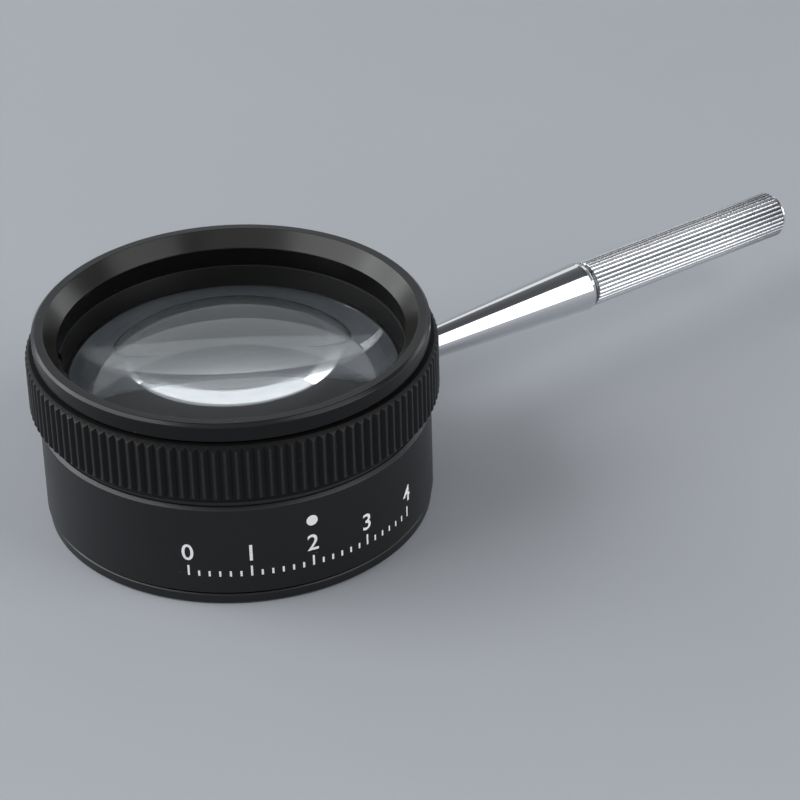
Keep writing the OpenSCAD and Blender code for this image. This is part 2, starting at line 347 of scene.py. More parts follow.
def thread(corners: Corners, rows: int, pitch: float, depth: float, threaded: tuple[float, float]) -> Surface:
    """Screw with a real thread on part of its length.

    A point at height h and angle a is sunk by depth times a triangle wave of h / pitch - a / turn,
    which makes a right-handed helix, and the wave fades out at both ends of the threaded part.

    Args:
        corners: Open outline of the blank.
        rows: Steps round the axis.
        pitch: Pitch of the thread, in mm.
        depth: Depth of the thread, in mm.
        threaded: Heights between which the thread runs, in mm.

    Returns:
        The screw's surface.
    """
    profile, edge = open_outline(corners)
    low, high = threaded
    outer = float(profile[:, 0].max())
    levels_per_turn = 8
    count = int((high - low) / pitch * levels_per_turn)
    height, index = profile[:, 1], np.arange(len(profile))
    kept = ~((profile[:, 0] > outer - NEXT_TO_NOTHING) & (height > low) & (height < high))
    first = int(np.argmax(height >= low))
    before, after = kept & (index < first), kept & (index >= first)
    wall = np.column_stack([np.full(count, outer), np.linspace(low, high, count)])
    profile = np.vstack([profile[before], wall, profile[after]])
    edge = np.concatenate([edge[before], np.zeros(count), edge[after]])
    height, start = profile[:, 1], int(before.sum())
    wave = np.abs((height / pitch - around(rows) / FULL_TURN) % 1 * 2 - 1)
    fade = np.clip(np.minimum(height - low, high - height) / pitch, 0, 1)
    fade[:start] = fade[start + count:] = 0
    return turn_solid(profile, edge, rows, 1 - depth / outer * wave * fade)


def bent_wire(centre_r: float, height: float, wire_r: float, start: float, sweep: float) -> Surface:
    """Round wire bent to part of a circle, closed at both ends by fans.

    A point is the wire's circle, radius centre + wire cos b, height + wire sin b, turned to angle a.

    Args:
        centre_r: Radius of the wire's own axis, in mm.
        height: Height of that axis, in mm.
        wire_r: Radius of the wire, in mm.
        start: Angle where it starts, in radians.
        sweep: Angle that it covers, in radians.

    Returns:
        The wire's surface.
    """
    rows, columns = 220, 20
    a, b = start + np.linspace(0, sweep, rows)[:, None], around(columns).T
    z = np.broadcast_to(height + wire_r * np.sin(b), (rows, columns))
    points = polar(centre_r + wire_r * np.cos(b), a, z).reshape(-1, 3)
    ends = polar(centre_r, np.array([start, start + sweep]), np.full(2, height))
    first = np.arange(columns)
    last = first + (rows - 1) * columns
    faces = (grid_faces(rows, columns, wrap_rows=False).tolist() + fan(len(points), first, np.roll(first, -1))
             + fan(len(points) + 1, np.roll(last, -1), last))
    return Surface(np.vstack([points, ends]), faces, np.zeros(len(points) + 2))


def cone(radius: np.ndarray, foot: tuple[float, float], tip: tuple[float, float]) -> np.ndarray:
    """Height of a chamfer cone over each radius.

    The height rises in a straight line from the foot to the tip, and goes on beyond both.

    Args:
        radius: The radii, in mm.
        foot: Radius and height of one point of the cone, in mm.
        tip: Radius and height of another.

    Returns:
        The heights.
    """
    return foot[1] + (tip[1] - foot[1]) * (radius - foot[0]) / (tip[0] - foot[0])


def fluted(corners: Corners, crest: np.ndarray, low: np.ndarray, high: np.ndarray, share: np.ndarray,
           steps: int) -> Surface:
    """Ring whose outside changes round the axis, so that each angle has its own outline.

    The wall at an angle has the crest's radius there, and its heights are low + (high - low) times
    the shares.

    Args:
        corners: The plain inside, from the upper end of the wall round to its lower end, and then
            one corner on the wall that only gives a direction.
        crest: The wall's radius at each angle, in mm.
        low: Its lowest height at each angle, in mm.
        high: Its highest height at each angle, in mm.
        share: Where the points between stand, from 0 to 1.
        steps: Steps in each fillet.

    Returns:
        The ring's surface.
    """
    fixed, edge = (part[:-(steps + 3)] for part in outline(corners, steps))
    plain, levels = (len(crest), len(fixed)), len(share) + 2
    radius = np.hstack([np.broadcast_to(fixed[:, 0], plain), np.repeat(crest, levels, axis=1)])
    height = np.hstack([np.broadcast_to(fixed[:, 1], plain), low, low + (high - low) * share, high])
    return revolve(radius, height, np.append(edge, np.zeros(levels)))


def slab(low: Sequence[float], high: Sequence[float], turn: float = 0.0) -> Surface:
    """Six-sided cutter between two corners, turned about +Z.

    Args:
        low: Lowest corner, in mm.
        high: Highest corner, in mm.
        turn: Angle about +Z, in degrees.

    Returns:
        The cutter's surface.
    """
    pick = np.array([[0, 0, 0], [1, 0, 0], [1, 1, 0], [0, 1, 0], [0, 0, 1], [1, 0, 1], [1, 1, 1], [0, 1, 1]])
    points = np.where(pick == 0, np.array(low, float), np.array(high, float))
    c, s = math.cos(math.radians(turn)), math.sin(math.radians(turn))
    points = points @ np.array([[c, s, 0], [-s, c, 0], [0, 0, 1]])
    faces = [[0, 3, 2, 1], [4, 5, 6, 7], [0, 1, 5, 4], [1, 2, 6, 5], [2, 3, 7, 6], [3, 0, 4, 7]]
    return Surface(points, faces, np.zeros(8))


def drill(radius: float, start: float, end: float) -> Surface:
    """Round cutter about +Z between two heights, in mm."""
    profile = np.array([[0, start], [radius, start], [radius, end], [0, end]])
    return turn_solid(profile, np.zeros(4), rows=64)


def put(name: str, data: bpy.types.ID) -> bpy.types.Object:
    """Links a new object with this mesh, curve, lamp or camera to the scene."""
    item = bpy.data.objects.new(name, data)
    bpy.context.scene.collection.objects.link(item)
    return item


def mesh_object(name: str, surface: Surface, axis: Axis = Axis.OPTICAL,
                crease: float = CREASE) -> bpy.types.Object:
    """Puts a surface into a smooth-shaded mesh object at the origin.

    Args:
        name: The object's name.
        surface: Points, faces and the mask of rounded edges.
        axis: The line that the points are modelled about.
        crease: Edges sharper than this many degrees stay sharp.

    Returns:
        The object, linked to the scene.
    """
    mesh = bpy.data.meshes.new(name)
    mesh.from_pydata((place(surface.points, axis) * MM).tolist(), [], surface.faces)
    rounded = mesh.attributes.new("rounded", "FLOAT", "POINT")
    rounded.data.foreach_set("value", surface.edge.astype(np.float32))
    mesh.shade_smooth()
    mesh.set_sharp_from_angle(angle=math.radians(crease))
    mesh.validate()
    return put(name, mesh)


def cut(piece: bpy.types.Object, *cutters: bpy.types.Object) -> None:
    """Takes cutters out of a piece and applies the result.

    Args:
        piece: The piece that is drilled or slotted.
        cutters: Closed solids, which are removed afterwards.
    """
    bpy.context.view_layer.objects.active = piece
    for cutter in cutters:
        modifier = piece.modifiers.new("cut", "BOOLEAN")
        modifier.operation, modifier.solver, modifier.object = "DIFFERENCE", "EXACT", cutter
        bpy.ops.object.modifier_apply(modifier=modifier.name)
        bpy.data.objects.remove(cutter)
    piece.data.set_sharp_from_angle(angle=math.radians(CREASE))


# ---------------------------------------------------------------- materials

class Graph:
    """One material's nodes, with a single method that adds any node."""

    def __init__(self, owner: bpy.types.Material | bpy.types.World) -> None:
        """Empties the node tree of a new material or world."""
        owner.use_nodes = True
        self.owner, self.tree = owner, owner.node_tree
        self.tree.nodes.clear()

    def add(self, kind: str, settings: Mapping[str, object] | None = None,
            inputs: Mapping[str | int, object] | None = None) -> bpy.types.Node:
        """Adds a node.

        Args:
            kind: The node's type.
            settings: Its own settings, set first.
            inputs: Values or links of its sockets, by name or number.

        Returns:
            The node.
        """
        node = self.tree.nodes.new(kind)
        for key, value in (settings or {}).items():
            setattr(node, key, value)
        for key, value in (inputs or {}).items():
            source = value.socket if isinstance(value, Signal) else value
            if isinstance(source, bpy.types.NodeSocket):
                self.tree.links.new(source, node.inputs[key])
            else:
                node.inputs[key].default_value = source
        return node

    def blend(self, first: object, second: object, share: object) -> bpy.types.NodeSocket:
        """Mixes two colours.

        Args:
            first: Colour where the share is 0.
            second: Colour where it is 1.
            share: The share.

        Returns:
            The mixed colour.
        """
        node = self.add("ShaderNodeMix", {"data_type": "RGBA"}, {"Factor": share, 6: first, 7: second})
        return node.outputs[2]

    def signal(self, node: bpy.types.Node, output: str | int = 0) -> "Signal":
        """Wraps one of a node's outputs."""
        return Signal(self, node.outputs[output])


class Signal:
    """A number that varies over a surface; Python's operators add Math nodes to its graph."""

    def __init__(self, graph: Graph, socket: bpy.types.NodeSocket) -> None:
        """Keeps the graph and the socket that gives the number."""
        self.graph, self.socket = graph, socket

    def math(self, operation: str, *others: object) -> "Signal":
        """Adds a Math node with this number first."""
        inputs = dict(enumerate((self, *others)))
        return self.graph.signal(self.graph.add("ShaderNodeMath", {"operation": operation}, inputs))

    def __add__(self, other: object) -> "Signal":
        """Sum."""
        return self.math("ADD", other)

    def __sub__(self, other: object) -> "Signal":
        """Difference."""
        return self.math("SUBTRACT", other)

    def __rsub__(self, other: object) -> "Signal":
        """Difference from another value: this number times -1, plus that value."""
        return self.math("MULTIPLY_ADD", -1.0, other)

    def __mul__(self, other: object) -> "Signal":
        """Product."""
        return self.math("MULTIPLY", other)

    def __truediv__(self, other: object) -> "Signal":
        """Quotient."""
        return self.math("DIVIDE", other)

    def __gt__(self, other: object) -> "Signal":
        """1 where this number is larger."""
        return self.math("GREATER_THAN", other)

    __radd__, __rmul__ = __add__, __mul__

    def clamp(self, low: float = 0.0, high: float = 1.0) -> "Signal":
        """The number kept between two limits."""
        return self.math("MAXIMUM", low).math("MINIMUM", high)

    def climb(self, zero: float, one: float) -> "Signal":
        """0 at one value of the number and 1 at another, straight between and level beyond."""
        return ((self - zero) / (one - zero)).clamp()

    def swing(self, size: float) -> "Signal":
        """A number from 0 to 1 made a swing of this size about 0."""
        return (self - 0.5) * size

    def from_floor(self, floor: float) -> "Signal":
        """A number from 0 to 1 lifted to run from a floor to 1."""
        return self * (1 - floor) + floor


class Skin(Graph):
    """A material graph with the patterns that this object's finishes share."""

    def __init__(self, name: str, axis: Axis = Axis.OPTICAL) -> None:
        """Starts the material and its coordinates in millimetres about an axis."""
        super().__init__(bpy.data.materials.new(name))
        source = self.add("ShaderNodeTexCoord").outputs["Object"]
        scaled = self.add("ShaderNodeVectorMath", {"operation": "SCALE"}, {0: source, "Scale": 1 / MM})
        self.place_mm = scaled.outputs[0]
        parts = self.add("ShaderNodeSeparateXYZ", inputs={0: self.place_mm})
        x, y, z = (self.signal(parts, i) for i in range(3))
        if axis is Axis.HANDLE:
            self.along, self.side, self.rise = x, y, z - axis_height("handle_rod")
        elif axis is Axis.GUIDE:
            self.along, self.side, self.rise = y, x, z - axis_height("guide_screw")
        else:
            self.along, self.side, self.rise = z, x, y
        self.radius = (self.side * self.side + self.rise * self.rise).math("SQRT")
        self.turn = self.rise.math("ARCTAN2", self.side)

    def noise(self, scale: float, detail: float = 3.0, roughness: float = 0.6,
              where: object = None) -> Signal:
        """Fractal noise from 0 to 1.

        Args:
            scale: Features to a millimetre.
            detail: Octaves.
            roughness: Strength of the finer octaves.
            where: Coordinates in mm, or None for the place itself.

        Returns:
            The noise.
        """
        node = self.add("ShaderNodeTexNoise", {"noise_dimensions": "3D"}, {
            "Vector": where or self.place_mm, "Scale": scale, "Detail": detail, "Roughness": roughness})
        return self.signal(node, "Fac")

    def vector(self, x: object, y: object, z: object) -> bpy.types.NodeSocket:
        """Coordinates put together from three numbers."""
        return self.add("ShaderNodeCombineXYZ", inputs={0: x, 1: y, 2: z}).outputs[0]

    def stretched(self, along: float, across: float) -> bpy.types.NodeSocket:
        """Coordinates with one factor along the axis and another across it."""
        return self.vector(self.along * along, self.side * across, self.rise * across)

    def tool_marks(self, pitch: float) -> Signal:
        """Fine rings left by the turning tool: noise of radius and height alone."""
        return self.noise(1 / pitch, 2.0, 0.7, self.vector(self.radius, 0.0, self.along))

    def specks(self, scale: float, amount: float) -> Signal:
        """Sparse round specks: 1 where a cell's centre is close and its own number is small.

        Args:
            scale: Cells to a millimetre.
            amount: Share of the cells that hold a speck.

        Returns:
            The mask.
        """
        reach, sharpness = 0.18, 12.0      # a speck's radius in cells, and how fast it fades in
        cells = self.add("ShaderNodeTexVoronoi", inputs={"Vector": self.place_mm, "Scale": scale})
        near = ((reach - self.signal(cells, "Distance")) * sharpness).clamp()
        tint = self.signal(self.add("ShaderNodeSeparateColor", inputs={0: cells.outputs["Color"]}))
        return near * (amount - tint > 0)

    def rounded(self) -> Signal:
        """1 on the rounded edges that the mesh names, 0 elsewhere."""
        return self.signal(self.add("ShaderNodeAttribute", {"attribute_name": "rounded"}), "Fac")

    def bump(self, height: object, distance: float, strength: float = 1.0,
             under: object = None) -> bpy.types.NodeSocket:
        """Turns a height from 0 to 1 into a normal.

        Args:
            height: The height.
            distance: Depth of the relief, in mm.
            strength: How much of it shows.
            under: A normal that it adds to, or None.

        Returns:
            The normal.
        """
        inputs = {"Height": height, "Distance": distance * MM, "Strength": strength}
        if under is not None:
            inputs["Normal"] = under
        return self.add("ShaderNodeBump", inputs=inputs).outputs[0]

    def finish(self, constants: Mapping[str, object], varying: Mapping[str, object]) -> bpy.types.Material:
        """Ends the graph in one shader.

        Args:
            constants: Values that are the same all over.
            varying: Colours, roughness, metal, coat and normals that change over the surface.

        Returns:
            The material.
        """
        shader = self.add("ShaderNodeBsdfPrincipled", inputs={**constants, **varying})
        self.add("ShaderNodeOutputMaterial", inputs={"Surface": shader.outputs[0]})
        return self.owner


@dataclass(frozen=True)
class Finish:
    """What every finish has."""

    name: str
    colour: Colour

    def lighter(self, factor: float, lift: float = 0.0) -> Colour:
        """The finish's colour times a factor, plus a lift."""
        return rgb(*(min(1.0, factor * c + lift) for c in self.colour[:3]))


@dataclass(frozen=True)
class Anodised(Finish):
    """Black anodised aluminium, satin or matt, with fine rings from turning."""

    roughness: float = 0.34
    anisotropy: float = 0.5
    mark_pitch: float = 0.09
    mark_depth: float = 0.0016
    # How much rounded edges are lightened: partly wear, partly a painted highlight.
    edge_wear_and_highlight: float = 0.5
    specular: float = 0.4
    groove_r: float = 0.0      # radius at the bottom of the flutes, if the part has any
    crest_r: float = 1.0       # radius at their crests
    bevel_in: float = 0.0      # radii of a band that is turned finer and given a lighter, warmer painted sheen
    bevel_out: float = 0.0
    dust: Colour = rgb(0.25, 0.25, 0.26)
    # Painted light: painted shade in the flute grooves, then a painted highlight on the flute crests.
    flute_groove_shade: Colour = rgb(0.0012, 0.0012, 0.0013)
    flute_crest_highlight: Colour = rgb(0.035, 0.035, 0.036)
    bevel_sheen_tone: Colour = rgb(0.0150, 0.0145, 0.0130)

    def material(self) -> bpy.types.Material:
        """Builds the material: dyed oxide, turning marks, rounded edges made lighter for wear and as a
        painted highlight, faint handling, and where asked painted shade in flutes with painted highlights on
        their crests and a painted sheen on a bevel band.
        """
        skin = Skin(self.name)
        marks = skin.tool_marks(self.mark_pitch)
        cloud = skin.noise(0.22, 4.0, 0.55)
        grain = skin.noise(9.0, 2.0, 0.5)
        # Rounded edges lighter, partly from wear and partly as a painted highlight.
        wear_and_painted_light = skin.rounded() * skin.noise(0.9).from_floor(0.35)
        dyed = skin.blend(self.colour, self.lighter(1.3), cloud * 0.7)
        base = skin.blend(dyed, self.lighter(2.4, 0.02), wear_and_painted_light * self.edge_wear_and_highlight)
        base = skin.blend(base, self.dust, skin.specks(1.6, 0.02) * 0.35)
        rough = self.roughness + cloud.swing(0.09) + marks.swing(0.10) - wear_and_painted_light * 0.08
        # Painted shade deepening into the flutes, and a painted highlight along their crests.
        if self.groove_r:
            deep = skin.radius.climb(self.crest_r, self.groove_r)
            base = skin.blend(base, self.flute_groove_shade, deep * 0.9)
            base = skin.blend(base, self.flute_crest_highlight, deep.climb(0.2, 0.0) * cloud.from_floor(0.6))
            rough = rough + deep * 0.35
        # A lighter, warmer painted sheen on the band of the inner bevel.
        if self.bevel_out:
            band = (skin.radius > self.bevel_in) * (self.bevel_out - skin.radius > 0)
            base = skin.blend(base, self.bevel_sheen_tone, band)
            rough = rough - band * 0.03
        relief = skin.bump(grain, 0.0015, 0.5, skin.bump(marks, self.mark_depth))
        return skin.finish(
            {"Metallic": 0.0, "IOR": 1.5, "Anisotropic": self.anisotropy,
             "Specular IOR Level": self.specular},
            {"Base Color": base, "Roughness": rough.clamp(0.05), "Normal": relief})


@dataclass(frozen=True)
class Plated(Finish):
    """Chrome plate on turned brass, polished or rolled."""

    roughness: float = 0.09
    ripple: float = 0.0
    ripple_pitch: float = 0.3
    groove_r: float = 0.0      # below this radius the grooves get a painted shade
    crest_r: float = 1.0       # above this radius the plate keeps its own colour
    worn_and_shaded_from: float = 0.0     # distance along the handle where painted shade and wear start to darken it
    worn_and_shaded_to: float = 1.0       # distance where that painted shade is darkest
    haze_tone: Colour = rgb(0.60, 0.61, 0.63)
    speck_tone: Colour = rgb(0.45, 0.46, 0.48)
    grip_groove_shade: Colour = rgb(0.10, 0.105, 0.11)
    worn_and_shaded_tone: Colour = rgb(0.17, 0.175, 0.19)

    def material(self) -> bpy.types.Material:
        """Builds the material: bright plate with hairline rings, faint haze and rolled ripples, and on fluted
        parts painted shade in the grooves and towards the far end, with some wear there.
        """
        skin = Skin(self.name, Axis.HANDLE)
        marks, haze = skin.tool_marks(0.12), skin.noise(0.35, 4.0)
        scratches = skin.noise(1.0, 3.0, 0.7, skin.stretched(0.8, 14.0))
        base = skin.blend(self.colour, self.haze_tone, haze * 0.25)
        base = skin.blend(base, self.speck_tone, skin.specks(1.2, 0.03) * 0.5)
        rough = self.roughness + haze.swing(0.05) + scratches.swing(0.05) + marks.swing(0.03)
        relief = skin.bump(marks, 0.0006)
        if self.groove_r:
            deep = skin.radius.climb(self.crest_r, self.groove_r)
            wear_and_painted_light = skin.along.climb(self.worn_and_shaded_from, self.worn_and_shaded_to)
            # Painted shade in the grooves.
            base = skin.blend(base, self.grip_groove_shade, deep * 0.75)
            # Darker towards the far end: painted shade, with patchy wear.
            base = skin.blend(base, self.worn_and_shaded_tone, wear_and_painted_light * haze.from_floor(0.35))
        if self.ripple:
            rolled = skin.noise(1 / self.ripple_pitch, 2.5, 0.6, skin.stretched(1.0, 0.75))
            relief = skin.bump(rolled, self.ripple, 1.0, relief)
        return skin.finish({"Metallic": 1.0, "IOR": 1.5},
                           {"Base Color": base, "Roughness": rough.clamp(0.03), "Normal": relief})


@dataclass(frozen=True)
class BareMetal(Finish):
    """Turned brass or steel, with an optional fine thread in relief."""

    dull: Colour
    axis: Axis = Axis.HANDLE
    roughness: float = 0.28
    thread_pitch: float = 0.0
    thread_lead: float = 0.0
    thread_relief: float = 0.12

    def material(self) -> bpy.types.Material:
        """Builds the material: bright metal, duller patches, turning rings and the thread's waves."""
        skin = Skin(self.name, self.axis)
        marks, patina = skin.tool_marks(0.15), skin.noise(0.5, 4.0)
        base = skin.blend(self.colour, self.dull, patina * 0.8)
        rough = self.roughness + patina.swing(0.16) + marks.swing(0.12)
        relief = skin.bump(marks, 0.003)
        if self.thread_pitch:
            climb = skin.along - skin.turn * (self.thread_lead / FULL_TURN)
            wave = (climb * (FULL_TURN / self.thread_pitch)).math("SINE") * 0.5 + 0.5
            relief = skin.bump(wave, self.thread_relief, 1.0, relief)
        return skin.finish({"Metallic": 1.0, "Anisotropic": 0.35},
                           {"Base Color": base, "Roughness": rough.clamp(0.08), "Normal": relief})


@dataclass(frozen=True)
class Moulded(Finish):
    """Black plastic or rubber with a fine grain."""

    roughness: float
    grain: float
    grain_depth: float
    speck_tone: Colour = rgb(0.2, 0.2, 0.2)

    def material(self) -> bpy.types.Material:
        """Builds the material: uneven black, fine grain and a few pale specks."""
        skin = Skin(self.name)
        grain, cloud = skin.noise(self.grain), skin.noise(0.4)
        base = skin.blend(self.colour, self.lighter(1.8), cloud * 0.6 + grain * 0.3)
        base = skin.blend(base, self.speck_tone, skin.specks(2.0, 0.04) * 0.4)
        return skin.finish({"Metallic": 0.0, "IOR": 1.5}, {
            "Base Color": base, "Roughness": (self.roughness + grain.swing(0.15)).clamp(0.1),
            "Normal": skin.bump(grain, self.grain_depth)})


@dataclass(frozen=True)
class Glass(Finish):
    """Polished crown glass with a trace of dust and wiping marks, and a ground edge."""

    edge_r: float
    dust: Colour = rgb(0.93, 0.94, 0.95)
    ior: float = 1.52
    clear: float = 0.98

    def material(self) -> bpy.types.Material:
        """Builds the material: clear glass whose roughness rises a little in wiping marks and at dust."""
        skin = Skin(self.name)
        wiped = skin.noise(0.5, where=skin.vector(skin.side * 0.25, skin.rise, skin.along))
        dust = skin.specks(1.1, 0.03)
        ground = skin.radius > self.edge_r
        rough = (wiped - 0.62).clamp() * 0.02 + dust * 0.05 + ground * 0.5
        return skin.finish({"Metallic": 0.0, "IOR": self.ior, "Transmission Weight": self.clear},
                           {"Base Color": skin.blend(self.colour, self.dust, dust * 0.3),
                            "Roughness": rough.clamp(0.0, 0.6)})


@dataclass(frozen=True)
class Matt(Finish):
    """Printing ink or paper: two tones of one colour in patches, and a soft grain."""

    patch_tone: Colour
    patch: tuple[float, float, float]     # the noise that spreads the second tone
    patch_share: float
    grain: tuple[float, float, float]
    grain_depth: float
    roughness: float
    rough_swing: float
    grain_rough: bool                     # whether roughness follows the grain or the patches
    ior: float

    def material(self) -> bpy.types.Material:
        """Builds the material: mottled colour with a barely visible grain."""
        skin = Skin(self.name)
        patches, grain = skin.noise(*self.patch), skin.noise(*self.grain)
        base = skin.blend(self.colour, self.patch_tone, patches * self.patch_share)
        rough = self.roughness + (grain if self.grain_rough else patches).swing(self.rough_swing)
        return skin.finish({"Metallic": 0.0, "IOR": self.ior}, {
            "Base Color": base, "Roughness": rough.clamp(), "Normal": skin.bump(grain, self.grain_depth)})


class Finishes:
    """Every finish of the loupe, built once."""

    def __init__(self) -> None:
        """Builds the materials."""
        bright_brass, dull_brass = rgb(0.72, 0.50, 0.20), rgb(0.45, 0.30, 0.12)
        ring_r, cap_r = extent("focus_ring").radius, extent("eye_cap").radius
        sleeve = extent("handle_grip")
        paper = rgb(0.380, 0.397, 0.424)
        looks = {
            "barrel": Anodised("satin_black_barrel", rgb(0.0070, 0.0071, 0.0080), specular=0.36),
            "foot": Anodised("satin_black_foot", rgb(0.0085, 0.0085, 0.009), mark_pitch=0.12),
            # The ring's flutes get painted shade in the grooves and a painted highlight on the crests.
            "ring": Anodised("satin_black_ring", rgb(0.0030, 0.0030, 0.0032), roughness=0.26,
                             specular=0.22, groove_r=ring_r - FocusingRing.flute_depth, crest_r=ring_r,
                             anisotropy=0.0, mark_depth=0.001, edge_wear_and_highlight=0.7),
            # The cap's inner bevel band carries a painted sheen.
            "cap": Anodised("satin_black_cap", rgb(0.0038, 0.0037, 0.0036), roughness=0.23,
                            specular=0.28, bevel_in=cap_r - 3.5, bevel_out=cap_r - LensCarriage.lip_w,
                            anisotropy=0.55, edge_wear_and_highlight=0.35),
            "cell": Anodised("matt_black_cell", rgb(0.004, 0.004, 0.004), roughness=0.5,
                             anisotropy=0.2, edge_wear_and_highlight=0.2, specular=0.25),
            "retainer": Anodised("matt_black_retainer", rgb(0.004, 0.004, 0.0042), roughness=0.40,
                                 anisotropy=0.3, edge_wear_and_highlight=1.0, specular=0.22),
            "spacer": BareMetal("satin_aluminium_spacer", rgb(0.66, 0.68, 0.72), rgb(0.50, 0.52, 0.56),
                                Axis.OPTICAL, roughness=0.40),
            "glass": Glass("crown_glass", rgb(0.95, 0.98, 1.0), extent("upper_lens").radius - 0.05),
            "rod": Plated("polished_chrome", rgb(0.80, 0.81, 0.82), roughness=0.07),
            # The grip gets painted shade in its grooves and towards its far end.
            "grip": Plated("rolled_chrome", rgb(0.80, 0.81, 0.83), roughness=0.13, ripple=0.055,
                           ripple_pitch=0.42, groove_r=sleeve.radius - Handle.flute_depth,
                           crest_r=sleeve.radius - 0.05,
                           # Painted shade, with some wear, over the grip's far third.
                           worn_and_shaded_from=(sleeve.start + 2 * sleeve.end) / 3, worn_and_shaded_to=sleeve.end),
            "plug": Plated("turned_chrome", rgb(0.78, 0.79, 0.80), roughness=0.13),
            "washer": BareMetal("turned_steel_washer", rgb(0.56, 0.57, 0.59), rgb(0.40, 0.41, 0.43)),
            "stud": BareMetal("cut_steel_stud", rgb(0.50, 0.51, 0.53), rgb(0.34, 0.35, 0.37)),
            "socket": BareMetal("turned_brass_socket", bright_brass, dull_brass, thread_pitch=0.5,
                                thread_lead=0.5),
            "nut": BareMetal("turned_brass_nut", bright_brass, dull_brass, Axis.OPTICAL,
                             thread_pitch=0.8, thread_lead=4.8),
            "wire": BareMetal("spring_steel_wire", rgb(0.45, 0.46, 0.48), rgb(0.22, 0.24, 0.28),
                              Axis.OPTICAL),
            "grub": BareMetal("blackened_steel_screw", rgb(0.09, 0.09, 0.10), rgb(0.05, 0.05, 0.055),
                              Axis.GUIDE, roughness=0.4),
            "bearing": Moulded("black_nylon", rgb(0.010, 0.010, 0.011), 0.45, 4.0, 0.006),
            "gasket": Moulded("black_rubber", rgb(0.012, 0.012, 0.012), 0.75, 7.0, 0.012),
            "ink": Matt("scale_ink", rgb(0.99, 0.99, 0.98), rgb(0.86, 0.86, 0.87), (2.5, 4.0, 0.6),
                        0.3, (14.0, 2.0, 0.5), 0.004, 0.42, 0.15, grain_rough=False, ior=1.48),
            "floor": Matt("pale_floor", paper, rgb(*(1.04 * c for c in paper[:3])), (0.02, 3.0, 0.5),
                          1.0, (3.0, 3.0, 0.6), 0.01, 0.7, 0.1, grain_rough=True, ior=1.35),
        }
        self.built = {part: look.material() for part, look in looks.items()}

    def __getitem__(self, part: str) -> bpy.types.Material:
        """The material of a part."""
        return self.built[part]


@dataclass
class Assembly:
    """Shared work of the sub-assemblies: naming, dressing and handing pieces to the frame."""

    body: ClassVar[str]        # the CAD body that its pieces move with
    finishes: Finishes
    seat_fit: float = 0.03     # between pieces that sit in one another
    run_fit: float = 0.05      # between pieces that slide or turn
    small_chamfer: float = 0.15
    groove_depth: float = 0.5
    groove_half_h: float = 0.5

    def groove(self) -> tuple[float, float]:
        """Lower and upper height of the grooves that the snap ring lies in."""
        snap = extent("snap_ring")
        middle = (snap.start + snap.end) / 2
        return middle - self.groove_half_h, middle + self.groove_half_h

    def add(self, name: str, surface: Surface, node: str | None, slot: str, finish: str,
            crease: float = CREASE) -> None:
        """Makes a piece of a surface and fits it; the arguments are those of mesh_object and fit."""
        self.fit(mesh_object(name, surface, axis_of(node), crease), node, slot, finish)

    def fit(self, piece: bpy.types.Object, node: str | None, slot: str, finish: str) -> None:
        """Dresses a finished piece and lets it stand for its CAD node.

        Args:
            piece: The mesh object.
            node: The CAD node that it stands for, or None for an added piece.
            slot: The record's material slot; not used.
            finish: Which of the finishes it wears.
        """
        piece.data.materials.clear()
        piece.data.materials.append(self.finishes[finish])
        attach(piece, self.body)
        if node:
            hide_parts(node)
        LOG.info("%-22s %6d faces, rides %s", piece.name, len(piece.data.polygons), self.body)


